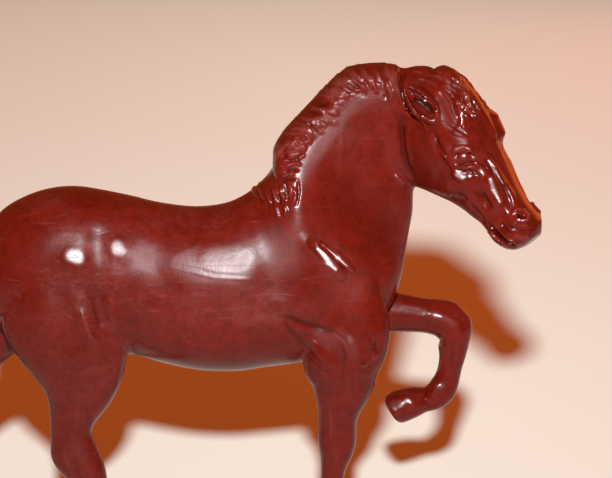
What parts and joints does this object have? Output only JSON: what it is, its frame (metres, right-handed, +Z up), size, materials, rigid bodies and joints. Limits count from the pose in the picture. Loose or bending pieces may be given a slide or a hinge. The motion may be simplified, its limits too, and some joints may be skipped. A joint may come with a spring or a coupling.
{
  "type": "toy horse figure",
  "caption": "Standing toy horse in one glossy plastic, one foreleg raised and head turned aside, built from two hollow body halves with plugged-in head, legs, mane and tail.",
  "frame": {"origin": "on the floor under the middle of the figure's outline", "axes": "+X the way the horse faces, +Y its left side, +Z up"},
  "size_m": [0.1134, 0.0264, 0.0919],
  "materials": {
    "figure_plastic": "glossy oxblood red, lightly scuffed"
  },
  "bodies": {
    "root": {"right_body_shell": "figure_plastic", "left_body_shell": "figure_plastic", "head": "figure_plastic", "mane": "figure_plastic", "tail": "figure_plastic", "right_foreleg": "figure_plastic", "left_foreleg": "figure_plastic", "right_hind_leg": "figure_plastic", "left_hind_leg": "figure_plastic"}
  },
  "joints": []
}
